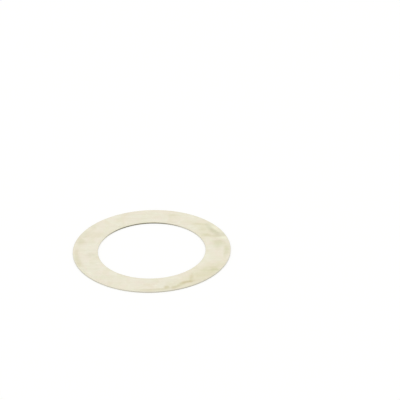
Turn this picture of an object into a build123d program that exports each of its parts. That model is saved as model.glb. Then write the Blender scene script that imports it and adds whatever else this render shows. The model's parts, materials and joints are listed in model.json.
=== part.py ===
from build123d import *
import os

# Shim ring: a thin flat spacing ring for a shaft, stamped in one piece from cold-rolled steel strip.
#
# Frame, in millimetres: the ring lies flat with its burr side on Z = 0. The origin is the centre
# of that face, and +Z runs along the bore, out through the die-roll side.

# What the ring is made to fit
shaft_diameter = 28.0
shaft_clearance = 0.1  # on the diameter
outside_diameter = 41.2
strip_thickness = 0.3

# How a compound die parts the strip, cutting the bore and the rim in one stroke
die_roll_width = 0.065  # the strip bends down beside the punch before the punch bites
die_roll_depth = 0.035
cut_share = 0.55  # part of the thickness the punch has sheared when this steel cracks through
die_clearance = 0.018  # on each side, between punch and die
tumbled_edge_radius = 0.02  # left where barrel finishing takes the burr off

bore_radius = (shaft_diameter + shaft_clearance) / 2
rim_radius = outside_diameter / 2
web_middle = (bore_radius + rim_radius) / 2
crack_height = (1 - cut_share) * strip_thickness


def stamped_section():
    """Half of the ring cut through its axis, drawn as radius across and height up.

    Down the rim come the die roll, the bright cut band at full size, and the torn band, which
    draws back by the die clearance. The bore's edge is the rim's, mirrored about the web.
    """
    with BuildSketch(Plane.XZ) as section:
        with BuildLine():
            roll_top = (rim_radius - die_roll_width, strip_thickness)
            roll_foot = (rim_radius, strip_thickness - die_roll_depth)
            Line((web_middle, strip_thickness), roll_top)
            TangentArc(roll_top, roll_foot, tangent=(1, 0))
            Polyline(
                roll_foot,
                (rim_radius, crack_height),
                (rim_radius - die_clearance, 0),
                (web_middle, 0),
            )
            mirror(about=Plane.YZ.offset(web_middle))
        make_face()
        burr_corners = section.vertices().group_by(Axis.Y)[0]
        fillet(burr_corners, tumbled_edge_radius)
    return section.sketch


def shim_ring():
    """The stamped section turned once round the bore's axis."""
    return revolve(stamped_section(), axis=Axis.Z)


os.makedirs("parts", exist_ok=True)
export_step(shim_ring(), "parts/shim_ring.step")
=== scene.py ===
import json
import math

import bpy
from mathutils import Matrix, Vector, noise


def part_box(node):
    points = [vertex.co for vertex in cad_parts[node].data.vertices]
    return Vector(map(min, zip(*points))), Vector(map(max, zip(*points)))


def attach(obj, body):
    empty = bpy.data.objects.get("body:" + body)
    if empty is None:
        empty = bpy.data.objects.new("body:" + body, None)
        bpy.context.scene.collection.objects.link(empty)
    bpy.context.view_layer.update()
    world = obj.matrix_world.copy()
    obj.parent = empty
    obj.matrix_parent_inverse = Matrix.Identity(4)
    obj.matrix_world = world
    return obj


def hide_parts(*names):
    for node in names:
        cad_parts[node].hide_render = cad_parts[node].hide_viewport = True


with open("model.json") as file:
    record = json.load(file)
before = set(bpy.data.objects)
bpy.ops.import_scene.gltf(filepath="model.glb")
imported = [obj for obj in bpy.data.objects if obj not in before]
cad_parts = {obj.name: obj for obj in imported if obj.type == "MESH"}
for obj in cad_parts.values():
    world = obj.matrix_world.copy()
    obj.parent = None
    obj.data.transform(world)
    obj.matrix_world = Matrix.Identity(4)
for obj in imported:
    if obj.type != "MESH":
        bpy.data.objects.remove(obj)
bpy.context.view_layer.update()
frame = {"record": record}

# ---------------------------------------------------------------------------------------------
# Shim ring
# One flat ring of cold-rolled steel strip. A compound die cuts its bore and its rim in one
# stroke, and a tumbling barrel takes off the burr. Nothing is fixed to it.
# ---------------------------------------------------------------------------------------------

MM = 0.001
ring_low, ring_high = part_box("shim_ring")
strip_thickness = ring_high.z - ring_low.z
rim_radius = ring_high.x
mounts = {mount["name"]: mount for mount in frame["record"]["mounts"]}
bore_radius = mounts["bore"]["dims"]["r_mm"] * MM

# The cut edge, from the strip's bend beside the punch down to the corner where the burr was.
die_roll_width = 0.065 * MM
die_roll_depth = 0.035 * MM
torn_share = 0.45  # part of the thickness that cracks through once the punch has cut the rest
crack_height = torn_share * strip_thickness
die_clearance = 0.018 * MM
tumbled_radius = 0.02 * MM

# How finely the section is drawn, and turned round the ring.
turn_steps = 900
face_steps = 20
corner_steps = 6
torn_steps = 7
cut_steps = 5
roll_steps = 6
sharp_turn = math.radians(25)  # between two bands of the section, where an edge stays crisp

torn_grain = 0.05 * MM
torn_depth = 0.005 * MM  # how deep the grain of the torn band is
broad_wave = 7 * MM
short_wave = 2.5 * MM
wave_depth = 0.006 * MM  # how far below dead flat the top face can be
FACE, BORE_WALL, RIM_WALL = 0, 1, 2  # the ring's finishes, as slots of its mesh


def arc(centre, radius, start, end, steps):
    """Points of an arc in the section, from one angle to another, in degrees."""
    angles = [math.radians(start + (end - start) * i / steps) for i in range(steps + 1)]
    return [(centre[0] + radius * math.cos(a), centre[1] + radius * math.sin(a)) for a in angles]


def run(start, end, steps):
    """Evenly spaced points of a straight run in the section, without its two ends."""
    shares = [i / steps for i in range(1, steps)]
    return [tuple(a + (b - a) * share for a, b in zip(start, end)) for share in shares]


def cut_edge():
    """One cut edge from the underside up to the top face.

    A point is how far out it lies from the edge's full size, which is 0 or less, and its height.
    """
    lean = math.atan2(die_clearance, crack_height)
    slope = math.hypot(die_clearance, crack_height)
    corner_x = tumbled_radius * (die_clearance - slope) / crack_height - die_clearance
    corner_centre = (corner_x, tumbled_radius)
    corner = arc(corner_centre, tumbled_radius, -90, -math.degrees(lean), corner_steps)
    torn = run(corner[-1], (0, crack_height), torn_steps)
    cut = run((0, crack_height), (0, strip_thickness - die_roll_depth), cut_steps)
    roll_radius = (die_roll_width**2 + die_roll_depth**2) / (2 * die_roll_depth)
    roll_turn = math.degrees(math.asin(die_roll_width / roll_radius))
    roll_centre = (-die_roll_width, strip_thickness - roll_radius)
    roll = arc(roll_centre, roll_radius, 90 - roll_turn, 90, roll_steps)
    return corner + torn + [(0, crack_height)] + cut + roll


def ring_section():
    """The closed section as (radius, height, finish of the face that follows the point)."""
    edge = cut_edge()
    rim = [(rim_radius + out, height) for out, height in edge]
    bore = [(bore_radius - out, height) for out, height in reversed(edge)]
    top = run(rim[-1], bore[0], face_steps)
    underside = run(bore[-1], rim[0], face_steps)
    section = [(r, z, RIM_WALL) for r, z in rim[:-1]]
    section += [(r, z, FACE) for r, z in [rim[-1]] + top]
    section += [(r, z, BORE_WALL) for r, z in bore[:-1]]
    section += [(r, z, FACE) for r, z in [bore[-1]] + underside]
    return section


def worked_surface(radius, height, angle, finish):
    """A point of the section turned to an angle, with the unevenness that its surface has."""
    point = Vector((radius * math.cos(angle), radius * math.sin(angle), height))
    if finish == FACE and height > strip_thickness / 2:
        wave = noise.noise(point / broad_wave) + 0.5 * noise.noise(point / short_wave)
        point.z -= wave_depth * (0.5 + 0.3 * wave)
    elif finish != FACE and 0 < height < crack_height:
        share = math.sin(math.pi * height / crack_height)
        grain = 0.5 + 0.5 * noise.noise(point / torn_grain)
        inward = -1 if finish == RIM_WALL else 1
        point.xy += point.xy.normalized() * inward * torn_depth * grain * share
    return point


def ring_mesh():
    """The section turned once round the Z axis, with each band's finish."""
    section = ring_section()
    points = []
    for step in range(turn_steps):
        angle = 2 * math.pi * step / turn_steps
        points += [worked_surface(r, z, angle, finish) for r, z, finish in section]
    faces = []
    finishes = []
    count = len(section)
    for step in range(turn_steps):
        here = step * count
        after = (step + 1) % turn_steps * count
        for i in range(count):
            j = (i + 1) % count
            faces.append((here + i, after + i, after + j, here + j))
            finishes.append(section[i][2])
    mesh = bpy.data.meshes.new("rolled_ring")
    mesh.from_pydata(points, [], faces)
    mesh.polygons.foreach_set("material_index", finishes)
    mesh.shade_smooth()
    mesh.set_sharp_from_angle(angle=sharp_turn)
    return mesh


ring = bpy.data.objects.new("rolled_ring", ring_mesh())
bpy.context.collection.objects.link(ring)


def place(tree, kind, inputs=(), **settings):
    """Adds a node, makes its settings, and sets its inputs or joins them to other nodes."""
    node = tree.nodes.new(kind)
    for name, value in settings.items():
        setattr(node, name, value)
    sockets = {socket.name: socket for socket in node.inputs if socket.enabled}
    sockets.update(enumerate(node.inputs))
    for name, value in dict(inputs).items():
        if isinstance(value, bpy.types.NodeSocket):
            tree.links.new(value, sockets[name])
        else:
            sockets[name].default_value = value
    return node


def reckon(tree, operation, *values):
    """The result of a sum on one, two or three numbers."""
    return place(tree, "ShaderNodeMath", enumerate(values), operation=operation).outputs[0]


def reckon_vector(tree, operation, *values):
    """The result of a sum on vectors, itself a vector."""
    return place(tree, "ShaderNodeVectorMath", enumerate(values), operation=operation).outputs[0]


def ease(tree, value, low, high, to_low=0.0, to_high=1.0):
    """A number eased from one range into another and held at its ends."""
    inputs = enumerate((value, low, high, to_low, to_high))
    node = place(tree, "ShaderNodeMapRange", inputs, interpolation_type="SMOOTHSTEP")
    return node.outputs[0]


def cloud(tree, vector, detail=3.0, roughness=0.5, distortion=0.0):
    """Soft noise from about 0 to 1, with one grain to each unit of the vector."""
    inputs = {"Vector": vector, "Scale": 1.0, "Detail": detail}
    inputs.update({"Roughness": roughness, "Distortion": distortion})
    return place(tree, "ShaderNodeTexNoise", inputs).outputs[0]


def tint(tree, share, first, second, method="MIX"):
    """Two colours mixed by a share."""
    inputs = {"Factor": share, "A": first, "B": second}
    node = place(tree, "ShaderNodeMix", inputs, data_type="RGBA", blend_type=method)
    return node.outputs[2]


def effect(name, vectors, numbers, result):
    """A new node group: its tree, its inputs by name, and the socket that its result goes to."""
    tree = bpy.data.node_groups.new(name, "ShaderNodeTree")
    for label in vectors:
        tree.interface.new_socket(label, in_out="INPUT", socket_type="NodeSocketVector")
    for label, value in numbers.items():
        socket = tree.interface.new_socket(label, in_out="INPUT", socket_type="NodeSocketFloat")
        socket.default_value = value
    tree.interface.new_socket(result, in_out="OUTPUT", socket_type="NodeSocketFloat")
    given = {socket.name: socket for socket in tree.nodes.new("NodeGroupInput").outputs}
    return tree, given, tree.nodes.new("NodeGroupOutput").inputs[0]


def use(tree, group, **values):
    """The result of an effect that is placed in a material with its own values."""
    node = place(tree, "ShaderNodeGroup", (), node_tree=group)
    for name, value in values.items():
        socket = node.inputs[name.replace("_", " ").capitalize()]
        if isinstance(value, bpy.types.NodeSocket):
            tree.links.new(value, socket)
        else:
            socket.default_value = value
    return node.outputs[0]


def rolling_line_effect():
    """Straight lines that the mill's rolls leave along the strip, which is along X. 0 to 1."""
    numbers = {"Width": 0.2, "Length": 9.0}
    tree, given, result = effect("rolling lines", ["Point"], numbers, "Lines")
    along = reckon(tree, "DIVIDE", 1.0, given["Length"])
    across = reckon(tree, "DIVIDE", 1.0, given["Width"])
    inputs = {"X": along, "Y": across, "Z": across}
    stretch = place(tree, "ShaderNodeCombineXYZ", inputs).outputs[0]
    lines = cloud(tree, reckon_vector(tree, "MULTIPLY", given["Point"], stretch), 4.0, 0.6)
    tree.links.new(ease(tree, lines, 0.3, 0.7), result)
    return tree


def patch_effect():
    """Soft-edged patches, such as an oil film leaves where it dries. 0 to 1."""
    numbers = {"Size": 5.0, "Cover": 0.5, "Softness": 0.12, "Waviness": 0.6}
    tree, given, result = effect("patches", ["Point"], numbers, "Patch")
    one_grain = reckon(tree, "DIVIDE", 1.0, given["Size"])
    inputs = {"X": one_grain, "Y": one_grain, "Z": one_grain}
    scale = place(tree, "ShaderNodeCombineXYZ", inputs).outputs[0]
    point = reckon_vector(tree, "MULTIPLY", given["Point"], scale)
    grains = cloud(tree, point, 4.0, 0.55, given["Waviness"])
    edge = reckon(tree, "SUBTRACT", 1.0, given["Cover"])
    low = reckon(tree, "SUBTRACT", edge, given["Softness"])
    high = reckon(tree, "ADD", edge, given["Softness"])
    tree.links.new(ease(tree, grains, low, high), result)
    return tree


mark_thickness = 0.05  # in millimetres, so that a mark doesn't show through on the other face
mark_full = 0.1  # how far out a mark is full, as a share of its half length and half width
mark_gone = 1.5  # how far out it has faded away, before its edge is made ragged
mark_grain = 0.7  # grains of its ragged edge to its half width


def mark_effect():
    """One soft-edged mark at its place on one side of the ring. 0 to 1.

    Direction is in degrees from X, and Bend is how far the mark's ends curl to its left.
    """
    numbers = {"Direction": 0.0, "Reach": 2.0, "Width": 0.5, "Bend": 0.0, "Ragged": 0.5}
    tree, given, result = effect("mark", ["Point", "Middle"], numbers, "Mark")
    offset = reckon_vector(tree, "SUBTRACT", given["Point"], given["Middle"])
    turn = reckon(tree, "RADIANS", reckon(tree, "MULTIPLY", given["Direction"], -1.0))
    inputs = {"Vector": offset, "Angle": turn}
    turned = place(tree, "ShaderNodeVectorRotate", inputs, rotation_type="Z_AXIS").outputs[0]
    local = place(tree, "ShaderNodeSeparateXYZ", {"Vector": turned}).outputs
    along = reckon(tree, "DIVIDE", local["X"], given["Reach"])
    curl = reckon(tree, "MULTIPLY", reckon(tree, "MULTIPLY", along, along), given["Bend"])
    across = reckon(tree, "DIVIDE", reckon(tree, "SUBTRACT", local["Y"], curl), given["Width"])
    through = reckon(tree, "DIVIDE", local["Z"], mark_thickness)
    inputs = {"X": along, "Y": across, "Z": through}
    shape = place(tree, "ShaderNodeCombineXYZ", inputs).outputs[0]
    size = place(tree, "ShaderNodeVectorMath", {0: shape}, operation="LENGTH").outputs["Value"]
    inputs = {"Vector": offset, "Scale": reckon(tree, "DIVIDE", mark_grain, given["Width"])}
    grains = place(tree, "ShaderNodeVectorMath", inputs, operation="SCALE").outputs[0]
    ragged = reckon(tree, "SUBTRACT", cloud(tree, grains, 4.0, 0.6, 0.6), 0.5)
    raggedness = reckon(tree, "MULTIPLY", ragged, reckon(tree, "MULTIPLY", given["Ragged"], 3.0))
    distance = reckon(tree, "ADD", size, raggedness)
    tree.links.new(ease(tree, distance, mark_gone, mark_full), result)
    return tree


def edge_effect():
    """How near a point of the face is to the ring's rim or its bore. 0 in the web, 1 at an edge."""
    numbers = {"Bore radius": 14.0, "Rim radius": 20.0, "Reach": 1.0}
    tree, given, result = effect("near an edge", ["Point"], numbers, "Nearness")
    flat = reckon_vector(tree, "MULTIPLY", given["Point"], (1.0, 1.0, 0.0))
    length = place(tree, "ShaderNodeVectorMath", {0: flat}, operation="LENGTH").outputs["Value"]
    from_rim = reckon(tree, "SUBTRACT", given["Rim radius"], length)
    from_bore = reckon(tree, "SUBTRACT", length, given["Bore radius"])
    nearest = reckon(tree, "MINIMUM", from_rim, from_bore)
    wander = reckon(tree, "SUBTRACT", cloud(tree, given["Point"], 3.0, 0.6), 0.5)
    distance = reckon(tree, "ADD", reckon(tree, "DIVIDE", nearest, given["Reach"]), wander)
    tree.links.new(ease(tree, distance, 1.0, 0.0), result)
    return tree


hairline_half_width = 0.012  # how far from its middle level the noise still counts as a line


def scratch_effect():
    """Sparse hairline scratches that run one way, in degrees from X. 0 to 1."""
    numbers = {"Direction": 0.0, "Spacing": 0.8, "Reach": 5.0}
    tree, given, result = effect("hairlines", ["Point"], numbers, "Scratch")
    turn = reckon(tree, "RADIANS", reckon(tree, "MULTIPLY", given["Direction"], -1.0))
    inputs = {"Vector": given["Point"], "Angle": turn}
    turned = place(tree, "ShaderNodeVectorRotate", inputs, rotation_type="Z_AXIS").outputs[0]
    along = reckon(tree, "DIVIDE", 1.0, given["Reach"])
    across = reckon(tree, "DIVIDE", 1.0, given["Spacing"])
    stretch = place(tree, "ShaderNodeCombineXYZ", {"X": along, "Y": across}).outputs[0]
    point = reckon_vector(tree, "MULTIPLY", turned, stretch)
    level = reckon(tree, "ABSOLUTE", reckon(tree, "SUBTRACT", cloud(tree, point, 1.0), 0.5))
    line = ease(tree, level, hairline_half_width, 0.0)
    broken = ease(tree, cloud(tree, given["Point"], 2.0), 0.45, 0.6)
    tree.links.new(reckon(tree, "MULTIPLY", line, broken), result)
    return tree


rolling_lines = rolling_line_effect()
patches = patch_effect()
mark = mark_effect()
near_edge = edge_effect()
hairlines = scratch_effect()


def steel(name):
    """A new bare steel material: its tree, its shader and the surface's point in millimetres."""
    material = bpy.data.materials.new(name)
    material.use_nodes = True
    tree = material.node_tree
    shader = tree.nodes["Principled BSDF"]
    shader.inputs["Metallic"].default_value = 1.0
    where = tree.nodes.new("ShaderNodeTexCoord").outputs["Object"]
    point = reckon_vector(tree, "MULTIPLY", where, (1 / MM, 1 / MM, 1 / MM))
    return material, tree, shader, point


# The two tones that the rolled face drifts between, and what tints them.
pale_steel = (0.830, 0.802, 0.672, 1.0)
warm_steel = (0.836, 0.777, 0.656, 1.0)
line_tint = (0.93, 0.925, 0.905, 1.0)  # in the valleys of the rolling lines and the grain
film_tint = (0.95, 0.96, 0.895, 1.0)  # where thin oil has dried
oil_tint = (0.93, 0.93, 0.83, 1.0)  # where more of it lay
olive_tint = (0.84, 0.865, 0.74, 1.0)  # where it has dried thick
amber_tint = (0.89, 0.88, 0.80, 1.0)  # and where it has yellowed
smear_tint = (0.80, 0.825, 0.75, 1.0)  # grey-green, dragged by a thumb
brown_tint = (0.79, 0.76, 0.61, 1.0)  # the start of rust
bright_tint = (1.08, 1.11, 1.12, 1.0)  # lighter than the bare face, on the hairline scratches and two bright patches

# Handling marks on the ring's die-roll side, with sizes in millimetres: tint, strength, middle,
# direction in degrees from X, half its length, half its width, bend, raggedness.
handling_marks = [
    # A thumb dragged across the back right, and two bright patches beside it
    (oil_tint, 0.6, (14.6, 9.6), -60, 6.0, 3.4, 0.0, 0.5),
    (smear_tint, 0.4, (15.1, 11.4), -70, 1.9, 0.80, 0.2, 0.5),
    (smear_tint, 0.75, (16.3, 8.8), -58, 2.1, 0.85, 0.0, 0.5),
    (smear_tint, 0.55, (18.2, 7.0), -12, 1.7, 1.10, 0.0, 0.5),
    (bright_tint, 1.0, (16.9, 10.3), -58, 1.5, 0.75, 0.0, 0.4),
    (bright_tint, 1.0, (18.7, 5.3), -5, 1.5, 0.60, 0.0, 0.4),
    # Oil that ran and dried on the right
    (amber_tint, 0.85, (14.3, 7.0), -20, 1.9, 0.75, 0.2, 0.5),
    (amber_tint, 0.6, (17.0, 6.1), -14, 1.8, 0.75, 0.0, 0.5),
    (amber_tint, 0.4, (13.4, 9.9), 90, 1.3, 1.10, 0.0, 0.4),
    (amber_tint, 0.35, (12.1, 12.8), 0, 1.7, 0.55, 0.0, 0.4),
    (amber_tint, 0.5, (14.0, 12.2), -10, 1.5, 0.60, 0.0, 0.4),
    (olive_tint, 0.4, (17.0, 2.7), 40, 2.1, 1.80, 0.0, 0.4),
    (olive_tint, 0.5, (17.6, 1.9), 85, 2.7, 1.30, 0.0, 0.3),
    (olive_tint, 0.7, (19.5, -0.8), 88, 3.8, 0.80, 0.35, 0.4),
    # A stain, a hook and the drops that fell from it at the front right
    (oil_tint, 0.8, (12.5, -13.0), 42, 8.5, 3.4, 0.0, 0.4),
    (olive_tint, 0.8, (15.9, -10.6), 60, 1.5, 1.30, 0.0, 0.5),
    (olive_tint, 0.3, (13.6, -10.5), 80, 1.2, 1.00, 0.0, 0.5),
    (brown_tint, 0.4, (10.0, -14.0), 85, 2.1, 0.60, 0.0, 0.4),
    (brown_tint, 0.75, (9.2, -16.2), 10, 1.7, 0.60, 0.1, 0.4),
    (brown_tint, 0.65, (7.3, -17.2), 46, 1.9, 0.80, -0.2, 0.3),
    (brown_tint, 0.6, (5.4, -18.7), 0, 0.8, 0.80, 0.0, 0.3),
    (brown_tint, 0.7, (3.5, -18.5), 0, 0.8, 0.90, 0.0, 0.3),
    (amber_tint, 0.9, (0.5, -19.6), 2, 6.0, 0.65, 0.9, 0.3),
    # Spots of film along the left
    (olive_tint, 0.6, (-18.4, 5.2), 85, 1.9, 1.20, 0.0, 0.4),
    (amber_tint, 0.7, (-19.6, -0.8), 92, 3.2, 0.70, -0.25, 0.4),
    (amber_tint, 0.9, (-19.1, -5.0), 105, 2.4, 0.90, -0.15, 0.4),
    (smear_tint, 0.4, (-16.0, -1.4), 10, 1.3, 1.20, 0.0, 0.4),
    # Thin film across the back, thicker along the rim on the left
    (oil_tint, 0.15, (-11.5, 11.8), 42, 8.0, 3.20, -1.0, 0.6),
    (oil_tint, 0.15, (8.5, 15.5), -28, 4.5, 3.00, 0.0, 0.6),
    (olive_tint, 0.25, (-16.8, 10.0), 58, 4.5, 0.90, -0.5, 0.4),
    (amber_tint, 0.4, (5.5, 17.5), 0, 1.7, 1.00, 0.0, 0.4),
]

face_distance = 40.0  # stretches the patches' noise, so that the two faces don't share it
broad_line_share = 0.6  # of the lines' tint. The narrower lines have the rest
faint_lines = 0.25  # how strong the lines' tint is where they show least
strong_lines = 0.85  # and where they show most
film_share = 0.6
edge_film_share = 0.4  # of the film that gathers along the rim and the bore
scratch_share = 0.5
bright_roughness = 0.30
lined_roughness = 0.38
film_roughness = 0.05  # added by the film
mark_roughness = 0.10  # added by the marks
line_relief = 0.0005 * MM
fine_line_relief = 0.5  # as a share of the lines' relief
scratch_relief = 0.6


def handled(tree, point, colour):
    """The face's colour under the handling marks, and how much the marks cover. 0 to 1."""
    covered = 0.0
    for mark_tint, strength, middle, direction, reach, width, bend, ragged in handling_marks:
        shape = use(
            tree,
            mark,
            point=point,
            middle=(*middle, strip_thickness / MM),
            direction=direction,
            reach=reach,
            width=width,
            bend=bend,
            ragged=ragged,
        )
        share = reckon(tree, "MULTIPLY", shape, strength)
        colour = tint(tree, share, colour, mark_tint, "MULTIPLY")
        covered = reckon(tree, "MAXIMUM", covered, share)
    return colour, covered


def scratched(tree, point):
    """Two sets of hairline scratches, one across the other. 0 to 1."""
    scratches = use(tree, hairlines, point=point, direction=24, spacing=1.6, reach=11.0)
    crossing = use(tree, hairlines, point=point, direction=-57, spacing=2.3, reach=8.0)
    return reckon(tree, "MAXIMUM", scratches, crossing)


def rolled_face():
    """The strip's two faces: fine straight rolling lines under a thin, patchy film of old oil."""
    material, tree, shader, point = steel("rolled_face")
    broad_lines = use(tree, rolling_lines, point=point, width=0.8, length=60.0)
    lines = use(tree, rolling_lines, point=point, width=0.25, length=35.0)
    fine_lines = use(tree, rolling_lines, point=point, width=0.07, length=20.0)
    apart = reckon_vector(tree, "MULTIPLY", point, (1.0, 1.0, face_distance))
    lined = use(tree, patches, point=apart, size=9.0, cover=0.5, softness=0.2)
    warmth = use(tree, patches, point=apart, size=5.0, cover=0.5, softness=0.16, waviness=1.5)
    film = use(tree, patches, point=apart, size=2.8, cover=0.46, softness=0.15, waviness=1.0)
    edge = use(
        tree,
        near_edge,
        point=point,
        bore_radius=bore_radius / MM,
        rim_radius=rim_radius / MM,
        reach=1.1,
    )
    streaks = reckon(tree, "MULTIPLY", lines, 1 - broad_line_share)
    streaks = reckon(tree, "MULTIPLY_ADD", broad_lines, broad_line_share, streaks)
    shown = ease(tree, lined, 0.0, 1.0, faint_lines, strong_lines)
    streak_share = reckon(tree, "MULTIPLY", streaks, shown)
    colour = tint(tree, warmth, pale_steel, warm_steel)
    oiled = reckon(tree, "MULTIPLY", film, film_share)
    colour = tint(tree, oiled, colour, film_tint, "MULTIPLY")
    oiled = reckon(tree, "MULTIPLY", edge, edge_film_share)
    colour = tint(tree, oiled, colour, film_tint, "MULTIPLY")
    colour = tint(tree, streak_share, colour, line_tint, "MULTIPLY")
    colour, covered = handled(tree, point, colour)
    scratches = scratched(tree, point)
    wiped = reckon(tree, "MULTIPLY", scratches, scratch_share)
    colour = tint(tree, wiped, colour, bright_tint, "MULTIPLY")
    tree.links.new(colour, shader.inputs["Base Color"])
    rough = ease(tree, streaks, 0.0, 1.0, bright_roughness, lined_roughness)
    rough = reckon(tree, "MULTIPLY_ADD", film, film_roughness, rough)
    rough = reckon(tree, "MULTIPLY_ADD", covered, mark_roughness, rough)
    tree.links.new(rough, shader.inputs["Roughness"])
    height = reckon(tree, "MULTIPLY_ADD", fine_lines, fine_line_relief, lines)
    height = reckon(tree, "MULTIPLY_ADD", scratches, -scratch_relief, height)
    inputs = {"Strength": 0.5, "Distance": line_relief, "Height": height}
    bump = place(tree, "ShaderNodeBump", inputs)
    tree.links.new(bump.outputs[0], shader.inputs["Normal"])
    return material


def painted_shade_effect():
    """Painted shade on one side of a cut wall, for the dim reflection that side shows. 0 to 1.

    Side is the polar angle of its middle and Spread how far it reaches each way, in degrees.
    """
    numbers = {"Side": 90.0, "Spread": 40.0}
    tree, given, result = effect("wall grime", ["Point"], numbers, "Painted shade")
    turn = reckon(tree, "RADIANS", reckon(tree, "MULTIPLY", given["Side"], -1.0))
    inputs = {"Vector": given["Point"], "Angle": turn}
    turned = place(tree, "ShaderNodeVectorRotate", inputs, rotation_type="Z_AXIS").outputs[0]
    local = place(tree, "ShaderNodeSeparateXYZ", {"Vector": turned}).outputs
    off_middle = reckon(tree, "ABSOLUTE", reckon(tree, "ARCTAN2", local["Y"], local["X"]))
    share = reckon(tree, "DIVIDE", off_middle, reckon(tree, "RADIANS", given["Spread"]))
    tree.links.new(ease(tree, share, 1.4, 0.4), result)
    return tree


painted_shade = painted_shade_effect()

cut_steel = (0.70, 0.67, 0.57, 1.0)
torn_steel = (0.56, 0.53, 0.43, 1.0)
# the colour of the painted shade on the cut walls
painted_shade_tint = (0.35, 0.34, 0.28, 1.0)
drag_scale = (14.0, 14.0, 1.0)  # grains to a millimetre, drawn out along the punch's stroke
crack_scale = (5.0, 5.0, 5.0)  # of the crack's wander round the wall
torn_scale = (30.0, 30.0, 30.0)
crack_wander = 0.03  # in millimetres, as is the next
crack_softness = 0.012
cut_roughness = 0.32
torn_roughness = 0.62
wall_relief = 0.003 * MM


def sheared_wall(name, side, spread, strength):
    """A cut wall: drawn bright where the punch slid past it, torn below that, with painted shade on
    one side.
    """
    material, tree, shader, point = steel(name)
    height = place(tree, "ShaderNodeSeparateXYZ", {"Vector": point}).outputs["Z"]
    drag = cloud(tree, reckon_vector(tree, "MULTIPLY", point, drag_scale), 3.0, 0.6)
    ragged = cloud(tree, reckon_vector(tree, "MULTIPLY", point, crack_scale), 4.0, 0.6)
    grain = cloud(tree, reckon_vector(tree, "MULTIPLY", point, torn_scale), 4.0, 0.7)
    border = ease(tree, ragged, 0.2, 0.8, -crack_wander, crack_wander)
    above = crack_height / MM + crack_softness
    below = crack_height / MM - crack_softness
    torn = ease(tree, reckon(tree, "ADD", height, border), above, below)
    drawn = tint(tree, ease(tree, drag, 0.3, 0.7, 0.0, 0.3), cut_steel, torn_steel)
    colour = tint(tree, torn, drawn, torn_steel)
    colour = tint(tree, ease(tree, grain, 0.35, 0.7, 0.0, 0.35), colour, line_tint, "MULTIPLY")
    uneven = ease(tree, ragged, 0.2, 0.6, 0.8 * strength, strength)
    # painted shade, darkest round the wall's given side and ragged along it
    painted_shade_share = use(tree, painted_shade, point=point, side=side, spread=spread)
    painted_shade_share = reckon(tree, "MULTIPLY", painted_shade_share, uneven)
    colour = tint(tree, painted_shade_share, colour, painted_shade_tint, "MULTIPLY")
    tree.links.new(colour, shader.inputs["Base Color"])
    rough = ease(tree, torn, 0.0, 1.0, cut_roughness, torn_roughness)
    tree.links.new(rough, shader.inputs["Roughness"])
    relief = reckon(tree, "MULTIPLY_ADD", grain, torn, drag)
    inputs = {"Strength": 0.6, "Distance": wall_relief, "Height": relief}
    bump = place(tree, "ShaderNodeBump", inputs)
    tree.links.new(bump.outputs[0], shader.inputs["Normal"])
    return material


ring.data.materials.append(rolled_face())
# painted shade on both walls: strong round the bore's back left, faint round the rim's front right
ring.data.materials.append(sheared_wall("bore_wall", side=103, spread=42, strength=1.0))
ring.data.materials.append(sheared_wall("rim_wall", side=300, spread=50, strength=0.15))
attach(ring, "root")
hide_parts("shim_ring")

# ---------------------------------------------------------------------------------------------
# Floor and studio
# A sheet of white card that the ring lies on, with an even white room round it and three soft
# lamps. From below, the card isn't seen.
# ---------------------------------------------------------------------------------------------

card_half = 3.0  # half the card's side, in metres
card_gap = 0.005 * MM  # keeps the card clear of the ring's underside
gap_reach = 6 * card_gap  # light that the underside gives back gets through the card
card_white = (0.98, 0.98, 0.97, 1.0)
plain_white = (1.0, 1.0, 0.99, 1.0)
plain_white_share = 0.6  # of the card as it is seen. The rest is lit, and takes the ring's shadow


def seen_or_mirrored(tree):
    """1 where a ray comes from the camera, or by way of a mirror or glass, and 0 otherwise."""
    path = tree.nodes.new("ShaderNodeLightPath").outputs
    either = reckon(tree, "MAXIMUM", path["Is Camera Ray"], path["Is Glossy Ray"])
    return reckon(tree, "MAXIMUM", either, path["Is Transmission Ray"])


def white_card():
    """Matt white card that shows as plain white, keeps a shadow, and can't be seen from below."""
    material = bpy.data.materials.new("white_card")
    material.use_nodes = True
    tree = material.node_tree
    tree.nodes.clear()
    matt = place(tree, "ShaderNodeBsdfDiffuse", {"Color": card_white}).outputs[0]
    white = place(tree, "ShaderNodeEmission", {"Color": plain_white}).outputs[0]
    share = reckon(tree, "MULTIPLY", seen_or_mirrored(tree), plain_white_share)
    above = place(tree, "ShaderNodeMixShader", {0: share, 1: matt, 2: white}).outputs[0]
    clear = tree.nodes.new("ShaderNodeBsdfTransparent").outputs[0]
    below = tree.nodes.new("ShaderNodeNewGeometry").outputs["Backfacing"]
    ray_length = tree.nodes.new("ShaderNodeLightPath").outputs["Ray Length"]
    under_ring = reckon(tree, "LESS_THAN", ray_length, gap_reach)
    unseen = reckon(tree, "MAXIMUM", below, under_ring)
    shown = place(tree, "ShaderNodeMixShader", {0: unseen, 1: above, 2: clear}).outputs[0]
    place(tree, "ShaderNodeOutputMaterial", {"Surface": shown})
    return material


card_mesh = bpy.data.meshes.new("card")
corner_sides = ((-1, -1), (1, -1), (1, 1), (-1, 1))
card_corners = [(x * card_half, y * card_half, -card_gap) for x, y in corner_sides]
card_mesh.from_pydata(card_corners, [], [(0, 1, 2, 3)])
card_mesh.materials.append(white_card())
card = bpy.data.objects.new("card", card_mesh)
bpy.context.collection.objects.link(card)

room = bpy.data.worlds.new("white_room")
room.use_nodes = True
bpy.context.scene.world = room
background = room.node_tree.nodes["Background"]
background.inputs["Color"].default_value = (1.0, 1.0, 1.0, 1.0)
background.inputs["Strength"].default_value = 1.0


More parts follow.
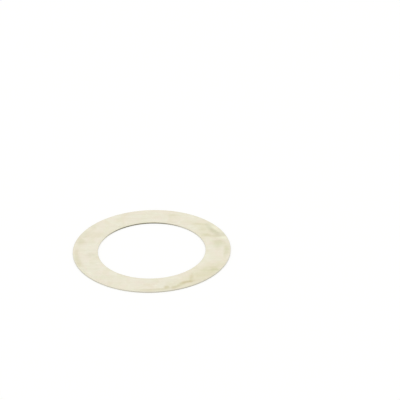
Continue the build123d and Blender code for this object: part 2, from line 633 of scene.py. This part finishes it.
def soft_lamp(name, position, size, brightness):
    """A square lamp that faces the ring and adds so much of the room's white to it."""
    light = bpy.data.lights.new(name, "AREA")
    light.size = size
    light.energy = brightness * math.pi * size**2
    lamp = bpy.data.objects.new(name, light)
    lamp.location = position
    lamp.rotation_euler = (-Vector(position)).to_track_quat("-Z", "Y").to_euler()
    bpy.context.collection.objects.link(lamp)


soft_lamp("left_lamp", (-0.60, -0.10, 0.75), size=0.80, brightness=0.16)
soft_lamp("back_lamp", (0.15, 0.55, 0.85), size=0.70, brightness=0.12)
soft_lamp("front_lamp", (-0.30, -0.65, 0.80), size=0.50, brightness=0.12)

# ---------------------------------------------------------------------------------------------
# Camera
# It stands about a metre from the ring and looks down on it through a long lens, with the ring
# low and left in the frame and the lens turned a little, so that the ring's right side is higher.
# ---------------------------------------------------------------------------------------------

camera_distance = 49.0 * rim_radius
camera_elevation = math.radians(31.16)
camera_turn = math.radians(1.74)
sensor_width = 0.036
frame_half_width = 2.5323 * rim_radius  # what the frame takes in at the ring, from its middle
ring_left = 0.6112 * rim_radius  # of the frame's middle, as the camera sees it
ring_below = 0.6416 * rim_radius

view_back = Vector((0.0, -math.cos(camera_elevation), math.sin(camera_elevation)))
view_up = Vector((0.0, math.sin(camera_elevation), math.cos(camera_elevation)))
side = Vector((1.0, 0.0, 0.0))
camera_right = side * math.cos(camera_turn) - view_up * math.sin(camera_turn)
camera_up = side * math.sin(camera_turn) + view_up * math.cos(camera_turn)

camera_data = bpy.data.cameras.new("camera")
camera_data.sensor_width = sensor_width / MM
camera_data.lens = camera_distance * sensor_width / (2 * frame_half_width) / MM
camera_data.clip_start = 0.01
camera_data.clip_end = 10.0
camera = bpy.data.objects.new("camera", camera_data)
bpy.context.collection.objects.link(camera)
bpy.context.scene.camera = camera

ring_middle = Vector((0.0, 0.0, strip_thickness / 2))
camera.location = ring_middle + view_back * camera_distance
aim_point = ring_middle + camera_right * ring_left + camera_up * ring_below
aim_back = (camera.location - aim_point).normalized()
aim_right = camera_up.cross(aim_back).normalized()
aim_up = aim_back.cross(aim_right)
camera.rotation_euler = Matrix((aim_right, aim_up, aim_back)).transposed().to_euler()

bpy.context.scene.view_settings.view_transform = "Standard"
